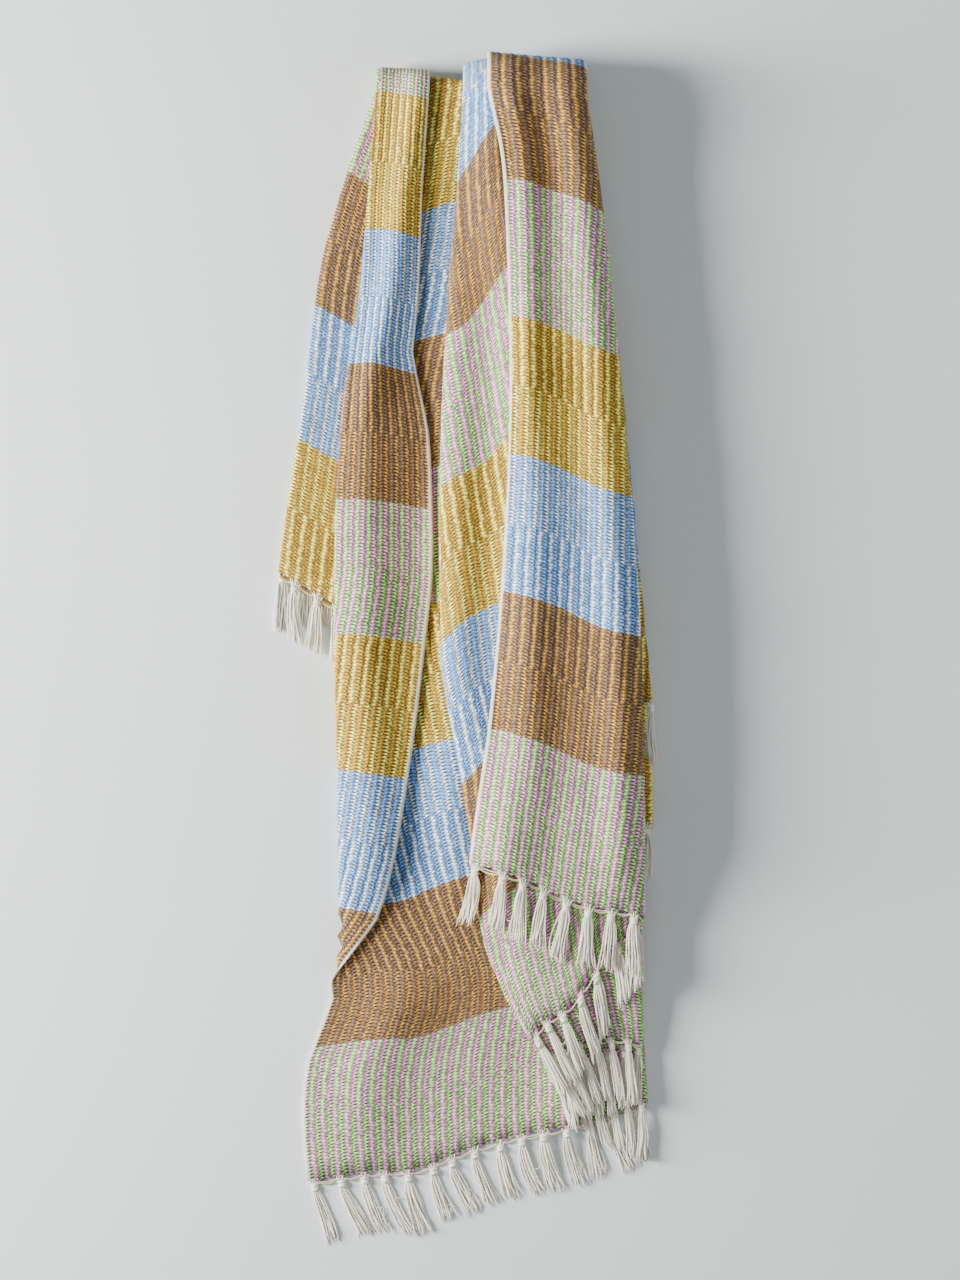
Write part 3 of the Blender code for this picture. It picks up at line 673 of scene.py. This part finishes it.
def weave_material():
    n = Nodes("rib_cotton_weave", 0.92, 0.10)
    s, b, under = n.attribute("weave")
    row = n.math("MULTIPLY", b, BAND / ROW)
    wobble = n.noise(n.join(n.math("MULTIPLY", s, 0.35), n.math("MULTIPLY", row, 0.12)), 1.0, 2.0)
    rough_edge = n.white(n.join(n.math("FLOOR", n.math("MULTIPLY", s, 1.0)), n.math("FLOOR", row), 3.0))
    tri = n.math("ABSOLUTE", n.math("SUBTRACT", n.math("FRACT", row), 0.5))
    s2 = n.math("ADD", s, n.math("MULTIPLY", n.math("SUBTRACT", wobble, 0.5), 0.22))
    s2 = n.math("ADD", s2, n.math("MULTIPLY", n.math("SUBTRACT", tri, 0.25), 1.15))
    s2 = n.math("ADD", s2, n.math("MULTIPLY", n.math("SUBTRACT", rough_edge, 0.5), 0.34))
    rib = n.math("FLOOR", s2)
    across = n.math("SUBTRACT", n.math("FRACT", s2), 0.5)
    bow = n.math("MULTIPLY", n.math("MULTIPLY", across, across), 4.0)
    odd = n.math("MODULO", rib, 2.0)
    slant = n.math("MULTIPLY", across, n.math("SUBTRACT", n.math("MULTIPLY", odd, 1.5), 0.75))
    row2 = n.math("ADD", n.math("ADD", row, n.math("MULTIPLY", bow, 0.35)), slant)
    pick = n.math("FLOOR", row2)
    in_row = n.math("SUBTRACT", n.math("FRACT", row2), 0.5)
    b2 = n.math("ADD", b, n.math("MULTIPLY", bow, -0.9 / BAND))
    b2 = n.math("ADD", b2, n.math("MULTIPLY", n.math("SUBTRACT", rough_edge, 0.5), 0.8 / BAND))
    b2 = n.math("MAXIMUM", b2, 0.001)
    band = n.math("MODULO", n.math("FLOOR", b2), 4.0)
    half = n.math("MODULO", n.math("FLOOR", n.math("MULTIPLY", b2, 2.0)), 2.0)
    parity = n.math("MODULO", n.math("ADD", rib, half), 2.0)
    chance = n.white(n.join(rib, pick, 1.0))
    speck = n.noise(n.join(n.math("MULTIPLY", s, 3.4), n.math("MULTIPLY", row, 1.5), 11.0), 1.0, 2.0, 0.6)
    swap = n.math("ADD", n.range(speck, 0.58, 0.72, 0.0, 0.30), n.math("MULTIPLY", n.math("LESS_THAN", chance, 0.03), 0.3))
    parity = n.math("ABSOLUTE", n.math("SUBTRACT", parity, swap))
    first, second = linear(YARNS[0][0]), linear(YARNS[0][1])
    for k in (1, 2, 3):
        here = n.math("COMPARE", band, float(k), 0.5)
        first = n.mix(here, first, linear(YARNS[k][0]))
        second = n.mix(here, second, linear(YARNS[k][1]))
    colour = n.mix(parity, first, second)
    fleck = n.noise(n.join(n.math("MULTIPLY", s, 9.0), n.math("MULTIPLY", row, 2.6)), 1.0, 3.0, 0.7)
    slub = n.noise(n.join(n.math("MULTIPLY", s, 0.5), n.math("MULTIPLY", row, 0.9), 7.0), 1.0, 3.0, 0.65)
    slow = n.noise(n.join(n.math("MULTIPLY", s, 0.06), n.math("MULTIPLY", b, 0.7), 2.0), 1.0, 2.0)
    # Painted shade and painted highlight: the yarn colour is darkened in the gaps between weft rows and in the grooves
    # between ribs, and lightened on the row and rib crowns.
    painted_row_highlight_and_shade = n.range(n.math("ABSOLUTE", in_row), 0.10, 0.5, 1.34, 0.20, "SMOOTHSTEP")
    painted_rib_highlight_and_shade = n.range(n.math("ABSOLUTE", across), 0.18, 0.5, 1.20, 0.36, "SMOOTHSTEP")
    shade = n.math("MULTIPLY", painted_row_highlight_and_shade, painted_rib_highlight_and_shade)
    shade = n.math("MULTIPLY", shade, n.range(fleck, 0.28, 0.72, 0.70, 1.28))
    shade = n.math("MULTIPLY", shade, n.range(slub, 0.3, 0.7, 0.84, 1.14))
    shade = n.math("MULTIPLY", shade, n.range(chance, 0.0, 1.0, 0.78, 1.18))
    shade = n.math("MULTIPLY", shade, n.range(slow, 0.3, 0.7, 0.95, 1.04))
    colour = n.scaled(colour, shade)
    edge = n.math("MINIMUM", s, n.math("SUBTRACT", float(RIBS), s))
    is_edge = n.range(n.math("ADD", edge, n.math("MULTIPLY", n.math("SUBTRACT", rough_edge, 0.5), 0.12)), 0.50, 0.62, 1.0, 0.0)
    # Painted shade: the cream selvedge darkens between its weft rows.
    cream = n.scaled(linear(CREAM), n.range(n.math("ABSOLUTE", in_row), 0.25, 0.5, 1.0, 0.84, "SMOOTHSTEP"))
    colour = n.mix(is_edge, colour, cream)
    height = n.math("MULTIPLY", n.math("SUBTRACT", 1.0, n.math("MULTIPLY", n.math("MULTIPLY", in_row, in_row), 4.0)), 0.6)
    height = n.math("ADD", height, n.math("MULTIPLY", n.math("SUBTRACT", 1.0, bow), 0.45))
    height = n.math("ADD", height, n.math("MULTIPLY", fleck, 0.5))
    height = n.math("ADD", height, n.math("MULTIPLY", chance, 0.15))
    return n.finish(colour, height, 0.0011)


def yarn_material(name, light, dark, two=False):
    n = Nodes(name, 0.85, 0.3)
    along, around, which = n.attribute("yarn")
    ply = n.math("ABSOLUTE", n.math("SUBTRACT", n.math("FRACT", n.math("ADD", n.math("MULTIPLY", along, 0.42), around)), 0.5))
    fibre = n.noise(n.join(n.math("MULTIPLY", along, 0.9), n.math("MULTIPLY", around, 5.0), n.math("MULTIPLY", which, 40.0)), 1.0, 3.0, 0.7)
    # Painted shade: the yarn darkens in the grooves between its plies; the fibre and per-strand terms are its own
    # tone.
    shade = n.math("MULTIPLY", n.range(ply, 0.05, 0.3, 0.84, 1.04), n.range(fibre, 0.3, 0.7, 0.92, 1.08))
    if not two:
        shade = n.math("MULTIPLY", shade, n.range(which, 0.0, 1.0, 0.94, 1.06))
    colour = n.mix(which, linear(light), linear(dark)) if two else linear(light)
    return n.finish(n.scaled(colour, shade), n.math("ADD", ply, n.math("MULTIPLY", fibre, 0.5)), 0.0005)


def floor_material():
    n = Nodes("pale_floor", 0.75, 0.0)
    where = n.tree.nodes.new("ShaderNodeTexCoord").outputs["Object"]
    cloud = n.noise(where, 1.7, 3.0)
    grain = n.noise(where, 240.0, 2.0)
    shade = n.math("MULTIPLY", n.range(cloud, 0.3, 0.7, 0.98, 1.01), n.range(grain, 0.3, 0.7, 0.99, 1.01))
    return n.finish(n.scaled(linear("#e2eaea"), shade), grain, 0.0001)


# ---------------------------------------------------------------- camera, light, floor
def area(name, place_at, aim, size, power, colour):
    light = bpy.data.lights.new(name, "AREA")
    light.shape = "RECTANGLE"
    light.size, light.size_y = size
    light.energy = power
    light.color = colour
    made = bpy.data.objects.new(name, light)
    bpy.context.scene.collection.objects.link(made)
    made.location = place_at
    made.rotation_mode = "QUATERNION"
    made.rotation_quaternion = (Vector(aim) - Vector(place_at)).to_track_quat("-Z", "Y")
    return made


def stage():
    scene = bpy.context.scene
    camera = bpy.data.cameras.new("camera")
    eye = bpy.data.objects.new("camera", camera)
    scene.collection.objects.link(eye)
    scale = 0.905  # photograph pixels to a mm
    height, distance = 1280.0 / scale / 1000.0, 3.3
    camera.sensor_fit = "VERTICAL"
    camera.sensor_height = 24.0
    camera.lens = 24.0 * (distance - 0.04) / height
    camera.clip_end = 50.0
    eye.location = ((480.0 - ORIGIN_ACROSS) / 1000.0, (ORIGIN_DOWN - 712.0) / 1000.0, distance)
    eye.rotation_euler = (0.0, 0.0, 0.0)
    scene.camera = eye
    ground = link("floor", [(-6, -6, -0.0005), (6, -6, -0.0005), (6, 6, -0.0005), (-6, 6, -0.0005)], [(0, 1, 2, 3)], False)
    ground.data.materials.append(floor_material())
    area("key", (-2.7, 0.25, 1.25), (0.0, -0.02, 0.0), (0.9, 1.9), 350.0, (1.0, 0.98, 0.95))
    area("rim", (2.6, -0.2, 1.3), (0.05, 0.0, 0.0), (0.8, 1.6), 30.0, (0.93, 0.97, 1.0))
    area("overhead", (-0.3, 0.3, 3.6), (0.0, 0.0, 0.0), (2.4, 2.4), 16.0, (1.0, 1.0, 1.0))
    world_light = bpy.data.worlds.new("studio")
    world_light.use_nodes = True
    world_light.node_tree.nodes["Background"].inputs[0].default_value = (0.86, 0.91, 0.96, 1.0)
    world_light.node_tree.nodes["Background"].inputs[1].default_value = 0.17
    scene.world = world_light


# ---------------------------------------------------------------- all together
stage()
weave = build_cloth()
weave.data.materials.append(weave_material())
cream = yarn_material("cream_yarn_strands", CREAM, CREAM)
front_fringe, front_loops = build_fringe("tassels_front", 1, 11)
back_fringe, back_loops = build_fringe("tassels_back", -1, 23)
front_fringe.data.materials.append(cream)
back_fringe.data.materials.append(cream)
front_loops.data.materials.append(yarn_material("loop_yarn_front", YARNS[0][0], YARNS[0][1], True))
back_loops.data.materials.append(yarn_material("loop_yarn_back", YARNS[3][0], YARNS[3][1], True))
for piece, slot in ((weave, "rib_cotton"), (front_loops, "rib_cotton"), (back_loops, "rib_cotton"), (front_fringe, "cream_yarn"), (back_fringe, "cream_yarn")):
    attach(piece, "root")
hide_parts("throw_cloth")
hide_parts("fringe_front")
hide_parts("fringe_back")
